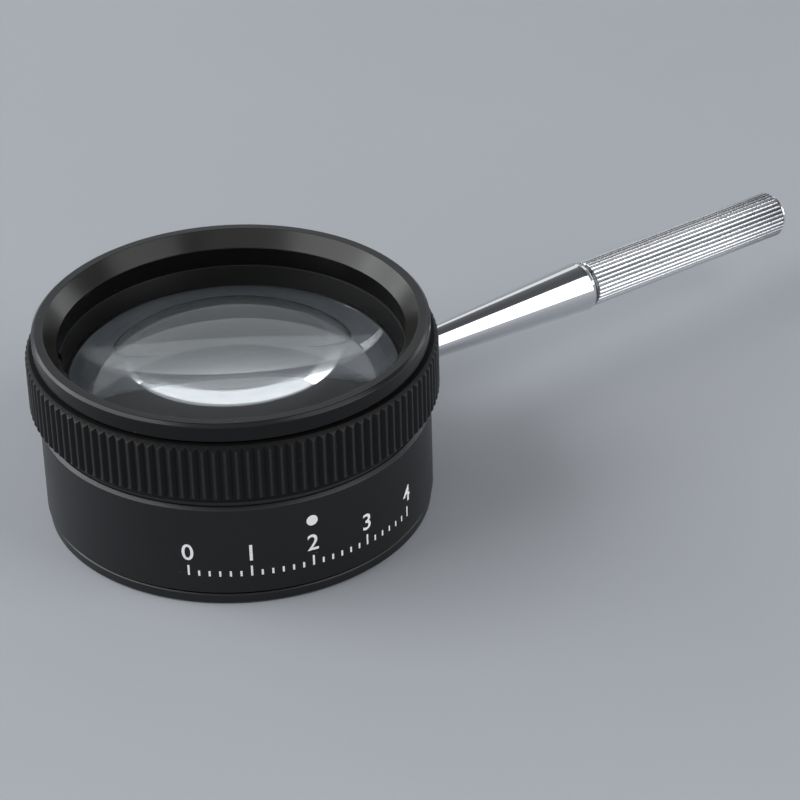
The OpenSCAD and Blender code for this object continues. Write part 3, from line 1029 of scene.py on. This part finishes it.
@dataclass
class Stand(Assembly):
    """The barrel that stands on the print, its foot, and what is fixed in its wall."""

    body: ClassVar[str] = "stand"
    barrel_wall: float = 2.25
    neck_wall: float = 1.25
    barrel_chamfer: float = 0.45
    foot_groove: float = 0.4
    foot_mouth_step: float = 0.45
    spigot_wall: float = 0.9
    mouth_h: float = 3.0
    washer_clear: float = 0.2
    hex_flat: float = 0.476
    hex_depth: float = 0.8
    tip_r: float = 0.7
    snap_gap: float = 8.0      # degrees

    def __post_init__(self) -> None:
        """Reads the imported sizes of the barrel, the foot and their neighbours."""
        self.barrel, self.foot = extent("stand_barrel"), extent("foot_ring")
        self.bearing, self.snap = extent("bearing_washer"), extent("snap_ring")
        self.bore_r = self.barrel.radius - self.barrel_wall
        self.neck_r = self.bore_r + self.neck_wall
        self.spigot_r = self.bore_r + self.spigot_wall

    def build(self) -> None:
        """Builds and dresses every piece of the stand."""
        self.build_barrel()
        self.build_foot()
        bearing = eased_ring(self.neck_r + self.run_fit, self.bearing, (0.05, 0.08, 0.08, 0.05))
        self.add("bearing_ring", bearing, "bearing_washer", "bearing_black", "bearing")
        self.build_snap_ring()
        self.build_socket()
        self.build_guide_screw()

    def build_barrel(self) -> None:
        """Turned tube: outline of foot counterbore, wall, chamfered shoulder and neck, then drilled."""
        bottom, top, r = self.barrel.start, self.barrel.end, self.barrel.radius
        counterbore, counter_top = self.spigot_r + self.seat_fit, self.foot.end + self.seat_fit
        chamfer, small, shoulder = self.barrel_chamfer, self.small_chamfer, self.bearing.start
        groove_r, (low, high) = self.neck_r - self.groove_depth, self.groove()
        piece = mesh_object("turned_barrel", turn_ring([
            (counterbore, bottom, 0.03), (r - small, bottom, 0.05), (r, bottom + small, 0.05),
            (r, shoulder - chamfer, 0.10), (r - chamfer, shoulder, 0.10), (self.neck_r, shoulder, 0.05),
            (self.neck_r, low, 0.04), (groove_r, low, 0.04), (groove_r, high, 0.04),
            (self.neck_r, high, 0.04), (self.neck_r, top, 0.12), (self.bore_r, top, 0.12),
            (self.bore_r, counter_top, 0.05), (counterbore, counter_top, 0.05)], FINEST))
        washer, socket = extent("handle_washer"), extent("handle_socket")
        screw = extent("guide_screw")
        inside, past = self.bore_r - OVERRUN, r + OVERRUN
        spot = drill(washer.radius + self.washer_clear, washer.start, past)
        hole = drill(socket.radius + self.seat_fit, inside, past)
        tapped = drill(screw.radius + self.seat_fit, inside, past)
        cut(piece, mesh_object("cut_spot", spot, Axis.HANDLE), mesh_object("cut_hole", hole, Axis.HANDLE),
            mesh_object("cut_tapped", tapped, Axis.GUIDE))
        self.fit(piece, "stand_barrel", "barrel_black", "barrel")

    def build_foot(self) -> None:
        """Turned foot ring: bevelled lower edge, rounded rim, step and spigot."""
        r, low, top, seat = self.foot.radius, self.foot.start, self.foot.end, self.barrel.start
        rim_top, small = seat - self.foot_groove, self.small_chamfer
        mouth, groove_r = self.bore_r - self.foot_mouth_step, self.spigot_r + self.seat_fit
        self.add("turned_foot", turn_ring([
            (mouth, low, 0.15), (r - 2 * small, low, 0.08), (r, low + 2 * small, 0.10),
            (r, rim_top - small, 0.06), (r - small, rim_top, 0.06), (groove_r, rim_top, 0.04),
            (groove_r, seat, 0.01), (self.spigot_r, seat, 0.01), (self.spigot_r, top, 0.10),
            (self.bore_r, top, 0.06), (self.bore_r, self.mouth_h, 0.03), (mouth, self.mouth_h, 0.12)],
            FINEST), "foot_ring", "barrel_black", "foot")

    def build_snap_ring(self) -> None:
        """Split ring of round wire, in the barrel's groove."""
        wire_r, gap = (self.snap.end - self.snap.start) / 2, math.radians(self.snap_gap)
        wire = bent_wire(self.neck_r + self.run_fit / 2, self.snap.start + wire_r, wire_r,
                         math.pi / 2 + gap / 2, FULL_TURN - gap)
        self.add("snap_wire", wire, "snap_ring", "screw_steel", "wire")

    def build_socket(self) -> None:
        """Brass bush with a countersunk thread."""
        bush = extent("handle_socket")
        bore = extent("handle_stud").radius + self.seat_fit
        self.add("brass_bush", turn_ring([
            (bore, bush.start + 0.15, 0.03), (bore + 0.15, bush.start, 0.03), (bush.radius, bush.start, 0.10),
            (bush.radius, bush.end, 0.05), (bore + 0.2, bush.end, 0.03), (bore, bush.end - 0.2, 0.03)],
            SMALL), "handle_socket", "thread_brass", "socket")

    def build_guide_screw(self) -> None:
        """Grub screw: tip, threaded body, and a hexagon socket whose radius is flat / cos of the angle
        from the nearest flat."""
        screw = extent("guide_screw")
        tip_end, floor = self.bore_r + self.run_fit, screw.end - self.hex_depth
        profile, edge = open_outline([
            (0, screw.start, 0), (self.tip_r, screw.start, 0.12), (self.tip_r, tip_end, 0.02),
            (screw.radius, tip_end, 0.06), (screw.radius, screw.end, 0.08), (self.hex_flat, screw.end, 0.02),
            (self.hex_flat, floor, 0.02), (0, floor, 0)])
        rows, sixth = 120, math.pi / 3
        from_flat = (around(rows) + sixth / 2) % sixth - sixth / 2
        last_outer = int(np.nonzero(profile[:, 0] >= screw.radius * 0.9)[0][-1])
        scale = np.where(np.arange(len(profile)) > last_outer, 1 / np.cos(from_flat), 1.0)
        self.add("grub_screw", turn_solid(profile, edge, rows, scale), "guide_screw", "screw_steel", "grub",
                 crease=30)


@dataclass
class ScaleMarks(Assembly):
    """Plain dial marks printed on the barrel: ticks, five figures and a round index."""

    body: ClassVar[str] = "stand"
    figures: ClassVar[str] = "01234"
    centre_angle: float = -101.0
    tick_step: float = 3.0
    ticks: int = 25
    ticks_to_long: int = 6
    tick_w: float = 0.30
    short_tick: float = 0.9
    long_tick: float = 1.7
    tick_z: float = 5.0
    figure_h: float = 2.7
    figure_z: float = 7.6
    figure_bold: float = 0.035
    font_height: float = 0.72      # height of a figure over the font's size
    dot_r: float = 0.85
    dot_z: float = 12.6
    lift: float = 0.012

    def __post_init__(self) -> None:
        """Reads the barrel's radius."""
        self.wall_r = extent("stand_barrel").radius + self.lift

    def wrap(self, flat: np.ndarray, height: float, angle: float) -> np.ndarray:
        """Lays flat shapes on the barrel: the angle is the flat x over the radius.

        Args:
            flat: Points with x to the right and y upwards, in mm.
            height: Height of the flat origin, in mm.
            angle: Angle of the flat origin, in degrees from the middle of the scale.

        Returns:
            Points on the barrel, in mm.
        """
        turn = math.radians(self.centre_angle + angle) + flat[:, 0] / self.wall_r
        return polar(np.full(len(flat), self.wall_r), turn, height + flat[:, 1])

    def build(self) -> None:
        """Builds the marks as one thin printed piece."""
        half = self.tick_step * (self.ticks - 1) / 2
        surfaces = [self.tick(i, self.tick_step * i - half) for i in range(self.ticks)] + [self.dot()]
        surfaces += map(self.figure, self.figures, np.linspace(-half, half, len(self.figures)))
        points = np.vstack([s.points for s in surfaces])
        starts = np.cumsum([0] + [len(s.points) for s in surfaces[:-1]])
        faces = [[v + int(start) for v in f] for s, start in zip(surfaces, starts) for f in s.faces]
        self.add("printed_scale", Surface(points, faces, np.zeros(len(points))), None, "barrel_black", "ink")

    def tick(self, index: int, angle: float) -> Surface:
        """One tick as a four-sided strip, some of them long."""
        tall = self.short_tick if index % self.ticks_to_long else self.long_tick
        half = self.tick_w / 2
        flat = np.array([[-half, 0], [half, 0], [half, tall], [-half, tall]])
        return Surface(self.wrap(flat, self.tick_z, angle), [[0, 1, 2, 3]], np.zeros(4))

    def dot(self) -> Surface:
        """The round index mark as a fan about its centre."""
        rim = polar(self.dot_r, around(32)[:, 0], np.zeros(32))[:, :2]
        after = np.arange(32) + 1
        points = self.wrap(np.vstack([[0, 0], rim]), self.dot_z, 0.0)
        return Surface(points, fan(0, after, np.roll(after, -1)), np.zeros(33))

    def figure(self, text: str, angle: float) -> Surface:
        """One figure from the built-in font, made a mesh and laid on the barrel.

        Args:
            text: The figure.
            angle: Where its middle stands, in degrees from the middle of the scale.

        Returns:
            Its surface.
        """
        curve = bpy.data.curves.new("figure", "FONT")
        curve.body, curve.size = text, self.figure_h / self.font_height
        curve.resolution_u, curve.offset = 4, self.figure_bold
        holder = put("figure", curve)
        mesh = bpy.data.meshes.new_from_object(holder.evaluated_get(bpy.context.evaluated_depsgraph_get()))
        flat = np.array([v.co[:2] for v in mesh.vertices], float)
        faces = [list(p.vertices) for p in mesh.polygons]
        bpy.data.objects.remove(holder)
        bpy.data.curves.remove(curve)
        bpy.data.meshes.remove(mesh)
        flat[:, 0] -= (flat[:, 0].min() + flat[:, 0].max()) / 2
        if not counter_clockwise(flat[faces[0]]):
            faces = [f[::-1] for f in faces]
        return Surface(self.wrap(flat, self.figure_z, angle), faces, np.zeros(len(flat)))


@dataclass
class FocusingRing(Assembly):
    """The fluted ring and the brass nut inside it."""

    body: ClassVar[str] = "focus_ring"
    flutes: int = 120
    samples: int = 10
    flute_depth: float = 0.42
    neck_clear: float = 0.05
    bevel_h: float = 0.9
    foot_inset: float = 1.1
    chamfer_h: float = 0.9
    runout_h: float = 0.4
    clear: float = 0.05
    nut_wall: float = 0.8

    def build(self) -> None:
        """Fluted ring, whose wall ends on two chamfer cones at every angle, and the nut."""
        ring, nut, snap = extent("focus_ring"), extent("helicoid_nut"), extent("snap_ring")
        bore = snap.radius - (snap.end - snap.start) / 2 + self.neck_clear / 2
        groove_r, (low, high) = bore + self.groove_depth, self.groove()
        crest = ridges(around(self.flutes * self.samples), self.flutes, ring.radius, self.flute_depth, 0.0)
        root_r, wide_r = ring.radius - self.flute_depth, ring.radius + self.clear
        bevel_r, bevel_z = root_r - self.clear, ring.start + self.bevel_h
        top_r, recess = root_r - self.small_chamfer, nut.radius + self.seat_fit
        surface = fluted([
            (top_r - 0.02, ring.end, 0.02), (recess, ring.end, 0.06), (recess, nut.start, 0.03),
            (bore, nut.start, 0.03), (bore, high, 0.03), (groove_r, high, 0.03), (groove_r, low, 0.03),
            (bore, low, 0.03), (bore, ring.start, 0.06), (ring.radius - self.foot_inset, ring.start, 0.10),
            (bevel_r, bevel_z, 0.05), (wide_r - 0.3, ring.end - 2, 0.0)], crest,
            cone(crest, (bevel_r, bevel_z), (wide_r, bevel_z + self.runout_h)),
            cone(crest, (top_r, ring.end), (wide_r, ring.end - self.chamfer_h)),
            np.array([0.03, 0.5, 0.97]), steps=3)
        self.add("fluted_ring", surface, "focus_ring", "ring_black", "ring", crease=32)
        self.add("brass_nut", eased_ring(nut.radius - self.nut_wall, nut, (0.1, 0.1, 0.1, 0.1)),
                 "helicoid_nut", "thread_brass", "nut")


@dataclass
class LensCarriage(Assembly):
    """The cell with both lenses, the parts that hold them, and the cap towards the eye."""

    body: ClassVar[str] = "lens_carriage"
    curve_r: float = 50.0
    edge_t: float = 2.0
    glass_bevel: float = 0.2
    hood_step: float = 1.6
    cell_wall: float = 1.35
    head_wall: float = 1.5
    face_gap: float = 0.2
    keyway_depth: float = 0.9
    keyway_half_w: float = 0.75
    keyway_below: float = 4.8
    keyway_above: float = 0.8
    keyway_past: float = 0.6
    cap_skirt_wall: float = 0.66
    lip_w: float = 1.7
    lip_chamfer: float = 0.45
    bevel_depth: float = 2.4
    lens_cover: float = 0.7
    slot_azimuth: float = -34.0
    slot_w: float = 1.4
    slot_depth: float = 0.9

    def __post_init__(self) -> None:
        """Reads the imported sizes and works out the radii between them."""
        self.upper, self.cell, self.cap = extent("upper_lens"), extent("lens_cell"), extent("eye_cap")
        self.gasket, self.retainer = extent("lens_gasket"), extent("retaining_ring")
        self.bore_r = self.upper.radius + self.run_fit
        self.hood_r = self.upper.radius - self.hood_step
        self.top_bore_r = self.cell.radius - self.head_wall
        self.skirt_r = self.top_bore_r - self.seat_fit
        self.eye_r = self.skirt_r - self.cap_skirt_wall

    def build(self) -> None:
        """Builds and dresses every piece of the carriage."""
        self.build_cell()
        for node in ("upper_lens", "lower_lens"):
            self.add(f"ground_{node}", self.lens(extent(node)), node, "optical_glass", "glass", crease=25)
        spacer = eased_ring(self.hood_r, extent("spacer_tube"), (0.08, 0.05, 0.05, 0.08))
        self.add("spacer", spacer, "spacer_tube", "spacer_aluminium", "spacer")
        gasket = eased_ring(self.hood_r, self.gasket, (0.06, 0.06, 0.06, 0.06))
        self.add("rubber_gasket", gasket, "lens_gasket", "gasket_rubber", "gasket")
        self.build_retainer()
        self.build_cap()

    def lens(self, lens: Extent) -> Surface:
        """Plano-convex lens: flat, ground edge with two fine bevels, and a spherical cap whose height
        at radius r is top - curve + sqrt(curve squared - r squared).

        Args:
            lens: Its packed size.

        Returns:
            Its surface.
        """
        bevel, r, hold = self.glass_bevel, lens.radius, 0.1
        flat = np.linspace(0, r - bevel, 24)
        lower = np.column_stack([flat, np.full(24, lens.start)])
        cap_r = np.sin(np.linspace(math.asin((r - bevel) / self.curve_r), 0, 90)) * self.curve_r
        cap_z = lens.end - self.curve_r + np.sqrt(self.curve_r**2 - cap_r**2)
        wall_low, wall_top = lens.start + bevel, lens.start + self.edge_t - bevel
        wall = [[r, z] for z in (wall_low, wall_low + hold, wall_top - hold, wall_top)]
        profile = np.vstack([lower, wall, np.column_stack([cap_r, cap_z])])
        profile[-1, 0] = 0.0
        return turn_solid(profile, np.zeros(len(profile)), FINE)

    def build_cell(self) -> None:
        """Turned cell: hood, ledge, lens bore, threaded top bore and head, with a milled keyway."""
        low, top = self.cell.start, self.cell.end
        head_z, ledge_z = extent("helicoid_nut").start + self.face_gap / 2, self.gasket.start
        skirt_r = self.bore_r + self.cell_wall
        step_z = (self.upper.start + self.edge_t + self.retainer.start) / 2
        piece = mesh_object("turned_cell", turn_ring([
            (self.hood_r, low, 0.15), (skirt_r, low, 0.15), (skirt_r, head_z, 0.03),
            (self.cell.radius, head_z, 0.1), (self.cell.radius, top, 0.08), (self.top_bore_r, top, 0.1),
            (self.top_bore_r, step_z, 0.03), (self.bore_r, step_z, 0.08), (self.bore_r, ledge_z, 0.03),
            (self.hood_r, ledge_z, 0.12)]))
        screw_z = axis_height("guide_screw")
        key = slab((-self.keyway_half_w, skirt_r - self.keyway_depth, screw_z - self.keyway_below),
                   (self.keyway_half_w, skirt_r + self.keyway_past, screw_z + self.keyway_above))
        cut(piece, mesh_object("cut_keyway", key))
        self.fit(piece, "lens_cell", "inner_black", "cell")

    def build_retainer(self) -> None:
        """Threaded ring with a sloping inner face and two spanner slots."""
        ring, past = self.retainer, self.retainer.radius + 2 * OVERRUN
        piece = mesh_object("turned_retainer", turn_ring([
            (self.upper.radius - self.lens_cover, ring.start, 0.08), (ring.radius, ring.start, 0.08),
            (ring.radius, ring.end, 0.08), (self.eye_r - self.small_chamfer, ring.end, 0.07)]))
        slot = slab((-past, -self.slot_w / 2, ring.end - self.slot_depth),
                    (past, self.slot_w / 2, ring.end + OVERRUN), self.slot_azimuth)
        cut(piece, mesh_object("cut_slots", slot))
        self.fit(piece, "retaining_ring", "inner_black", "retainer")

    def build_cap(self) -> None:
        """Eye cap: threaded skirt, flange, softened outer chamfer, lip and wide inner bevel."""
        r, top, low = self.cap.radius, self.cap.end, self.cap.start
        seat, small = self.cell.end, self.small_chamfer
        self.add("turned_cap", turn_ring([
            (self.eye_r, low, 0.06), (self.skirt_r, low, 0.06), (self.skirt_r, seat, 0.03),
            (r - small, seat, 0.06), (r, seat + small, 0.06), (r, top - self.lip_chamfer, 0.22),
            (r - self.lip_chamfer, top, 0.22), (r - self.lip_w, top, 0.12),
            (self.eye_r, top - self.bevel_depth, 0.10)], FINEST, steps=7), "eye_cap", "cap_black", "cap")


@dataclass
class Washer(Assembly):
    """The flat washer under the handle."""

    body: ClassVar[str] = "handle_washer"
    stud_clear: float = 0.2

    def build(self) -> None:
        """Flat washer with eased edges."""
        bore = extent("handle_stud").radius + self.stud_clear
        washer = eased_ring(bore, extent("handle_washer"), (0.06, 0.1, 0.12, 0.06), SMALL)
        self.add("turned_washer", washer, "handle_washer", "screw_steel", "washer")


@dataclass
class Handle(Assembly):
    """The handle that screws into the barrel."""

    body: ClassVar[str] = "handle"
    rod_r0: float = 2.05
    tang_r: float = 2.4
    seam_r: float = 3.0
    seam_w: float = 0.4
    flutes: int = 30
    samples: int = 24
    flute_depth: float = 0.26
    ridge_roundness: float = 0.75
    thread_pitch: float = 0.5
    thread_depth: float = 0.27
    stud_chamfer: float = 0.2
    near_chamfer: tuple[float, float] = (0.34, 0.35)     # depth and length at the rod's end of the grip
    far_chamfer: tuple[float, float] = (0.6, 0.7)        # the same at the plug's end
    clear: float = 0.05
    dish_depth: float = 0.15

    def __post_init__(self) -> None:
        """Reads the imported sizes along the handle."""
        self.rod, self.sleeve, self.plug, self.stud = (
            extent(node) for node in ("handle_rod", "handle_grip", "grip_plug", "handle_stud"))

    def build(self) -> None:
        """Builds and dresses every piece of the handle."""
        self.build_stud()
        self.build_rod()
        self.build_grip()
        self.build_plug()

    def build_stud(self) -> None:
        """Stud with a real right-handed thread."""
        r, low, high, ease = self.stud.radius, self.stud.start, self.stud.end, self.stud_chamfer
        surface = thread([(0, low, 0), (r - ease, low, 0.02), (r, low + ease, 0.02), (r, high - ease, 0.02),
                          (r - ease, high, 0.02), (0, high, 0)], 48, self.thread_pitch, self.thread_depth,
                         (low + ease + self.clear, high - ease - self.clear))
        self.add("threaded_stud", surface, "handle_stud", "screw_steel", "stud", crease=60)

    def build_rod(self) -> None:
        """Tapered rod: drilled end, taper, rounded shoulder, seam neck and tang."""
        low, high, r, grip = self.rod.start, self.rod.end, self.rod.radius, self.sleeve.start
        shoulder = grip - self.seam_w
        hole_r, hole_end = self.stud.radius + self.seat_fit, self.stud.end + self.stud_chamfer
        profile, edge = open_outline([
            (0, hole_end, 0), (hole_r, hole_end, 0.02), (hole_r, low, 0.04),
            (self.rod_r0 - self.small_chamfer, low, 0.05), (self.rod_r0, low + self.small_chamfer, 0.08),
            (r - 0.05, shoulder - 1.3, 2.0), (r, shoulder - 0.85, 0.4),
            (r - 0.12, shoulder - 0.3, 0.25), (r - 0.45, shoulder, 0.15), (self.seam_r, shoulder, 0.04),
            (self.seam_r, grip, 0.03), (self.tang_r, grip, 0.03), (self.tang_r, high, 0.1), (0, high, 0)],
            steps=7)
        self.add("tapered_rod", turn_solid(profile, edge, 192), "handle_rod", "chrome_rod", "rod")

    def build_grip(self) -> None:
        """Fluted sleeve, whose wall ends on a chamfer cone at both ends at every angle."""
        low, high, r = self.sleeve.start, self.sleeve.end, self.sleeve.radius
        crest = ridges(around(self.flutes * self.samples), self.flutes, r, self.flute_depth,
                       self.ridge_roundness)
        (near_depth, near_h), (far_depth, far_h) = self.near_chamfer, self.far_chamfer
        near_r, far_r, wide_r = r - near_depth, r - far_depth, r + self.clear
        bore = self.tang_r + self.seat_fit
        surface = fluted([(far_r, high, 0.05), (bore, high, 0.1), (bore, low, 0.1), (near_r, low, 0.05),
                          (r, (low + high) / 2, 0.0)], crest,
                         cone(crest, (near_r, low), (wide_r, low + near_h)),
                         cone(crest, (far_r, high), (wide_r, high - far_h)),
                         np.linspace(0.01, 0.99, 20), steps=4)
        self.add("fluted_grip", surface, "handle_grip", "chrome_grip", "grip", crease=35)

    def build_plug(self) -> None:
        """End plug with a chamfered head and a shallow dish turned in its face."""
        low, high, r, tang_r = self.plug.start, self.plug.end, self.plug.radius, self.tang_r
        seat, dish = self.sleeve.end, high - self.dish_depth
        profile, edge = open_outline([
            (0, low, 0), (tang_r, low, 0.15), (tang_r, seat, 0.02), (r, seat, 0.05), (r, seat + 0.35, 0.12),
            (r - 0.4, high, 0.12), (1.1, high, 0.1), (0.7, dish, 0.2), (0, dish, 0)])
        self.add("turned_plug", turn_solid(profile, edge, SMALL), "grip_plug", "chrome_grip", "plug")


# ---------------------------------------------------------------- studio

@dataclass(frozen=True)
class Viewpoint:
    """The camera, placed from the centre of the base; the view looks along its own heading."""

    heading: float = 34.15     # turn of the handle from the view's right-hand side, in degrees
    right: float = 24.11       # mm to the right of the optical axis
    back: float = 398.81       # mm towards the viewer
    height: float = 263.03     # mm over the floor
    pitch: float = 31.81       # degrees that it looks down
    roll: float = -1.67        # degrees about its own axis
    lens: float = 143.77       # mm, on a 36 mm frame
    sensor: float = 36.0

    def to_row(self) -> Matrix:
        """Turns from the view's own floor axes into the row frame."""
        return Matrix.Rotation(math.radians(-self.heading), 4, "Z")

    def build(self) -> bpy.types.Object:
        """Creates the camera and makes it the scene's.

        Returns:
            The camera object.
        """
        data = bpy.data.cameras.new("view_camera")
        data.lens, data.sensor_width, data.clip_start, data.clip_end = self.lens, self.sensor, 0.01, 20.0
        camera = put("view_camera", data)
        place_at = Matrix.Translation(Vector((self.right, -self.back, self.height)) * MM)
        tilt = Matrix.Rotation(math.radians(90 - self.pitch), 4, "X")
        roll = Matrix.Rotation(math.radians(self.roll), 4, "Z")
        camera.matrix_world = self.to_row() @ place_at @ tilt @ roll
        bpy.context.scene.camera = camera
        return camera


@dataclass(frozen=True)
class Panel:
    """A soft light panel, placed round the loupe as the viewer sees it."""

    name: str
    azimuth: float      # degrees from straight behind the loupe, positive to the right
    elevation: float    # degrees over the floor
    distance: float     # metres
    width: float        # metres
    height: float       # metres
    power: float        # watts
    colour: tuple[float, float, float] = (1.0, 1.0, 1.0)

    def build(self, view: Viewpoint) -> None:
        """Adds the panel, aimed at the loupe.

        Args:
            view: The viewpoint that its azimuth is counted from.
        """
        a, e = math.radians(self.azimuth), math.radians(self.elevation)
        offset = Vector((math.sin(a) * math.cos(e), math.cos(a) * math.cos(e), math.sin(e))) * self.distance
        aim = Vector((0, 0, 0.015))
        data = bpy.data.lights.new(self.name, "AREA")
        data.shape, data.size, data.size_y = "RECTANGLE", self.width, self.height
        data.energy, data.color = self.power, self.colour
        light = put(self.name, data)
        turned = (-offset).to_track_quat("-Z", "Y").to_matrix().to_4x4()
        light.matrix_world = view.to_row() @ Matrix.Translation(aim + offset) @ turned


@dataclass(frozen=True)
class Studio:
    """Floor, surroundings and light panels."""

    floor_size: float = 8.0
    low_air: tuple[float, float, float, float] = rgb(0.44, 0.46, 0.48)
    high_air: tuple[float, float, float, float] = rgb(0.05, 0.05, 0.055)
    panels: tuple[Panel, ...] = (
        Panel("key_left", -98, 42, 1.1, 1.1, 0.7, 9.0, (0.98, 0.99, 1.0)),
        Panel("left_wall", -68, 19, 1.2, 1.2, 0.42, 5.6, (0.97, 0.985, 1.0)),
        Panel("back_band", 0, 31, 1.2, 2.3, 0.38, 1.9, (0.93, 0.98, 1.0)),
        Panel("front_fill", -165, 50, 0.8, 0.7, 0.4, 0.6, (0.97, 0.985, 1.0)),
        Panel("right_wall", 66, 15, 1.2, 0.9, 0.22, 1.6, (0.97, 0.985, 1.0)),
        Panel("side_card", 116, 28, 0.9, 0.62, 1.1, 4.4),
    )

    def build(self, view: Viewpoint, finishes: Finishes) -> None:
        """Builds the floor, the surroundings and the lights.

        Args:
            view: The viewpoint that the panels stand round.
            finishes: The finishes, for the floor.
        """
        count, half = 9, self.floor_size / 2 / MM
        side = np.linspace(-half, half, count)
        x, y = np.meshgrid(side, side, indexing="ij")
        points = np.column_stack([x.ravel(), y.ravel(), np.zeros(count * count)])
        faces = grid_faces(count, count, wrap_rows=False, wrap_columns=False).tolist()
        floor = mesh_object("pale_floor", Surface(points, faces, np.zeros(len(points))))
        floor.data.materials.append(finishes["floor"])
        bpy.context.scene.view_settings.view_transform = "Standard"
        world = bpy.data.worlds.new("studio_air")
        bpy.context.scene.world = world
        air = Graph(world)
        way = air.add("ShaderNodeSeparateXYZ", inputs={0: air.add("ShaderNodeTexCoord").outputs["Generated"]})
        colour = air.blend(self.low_air, self.high_air, air.signal(way, 2).clamp())
        surround = air.add("ShaderNodeBackground", inputs={"Color": colour})
        air.add("ShaderNodeOutputWorld", inputs={"Surface": surround.outputs[0]})
        for panel in self.panels:
            panel.build(view)


def main() -> None:
    """Builds the view, the pieces and the studio."""
    logging.basicConfig(level=logging.INFO, format="%(message)s")
    view = Viewpoint()
    view.build()
    finishes = Finishes()
    for assembly in (Stand, ScaleMarks, FocusingRing, LensCarriage, Washer, Handle):
        assembly(finishes).build()
    Studio().build(view, finishes)


if __name__ == "__main__":
    main()
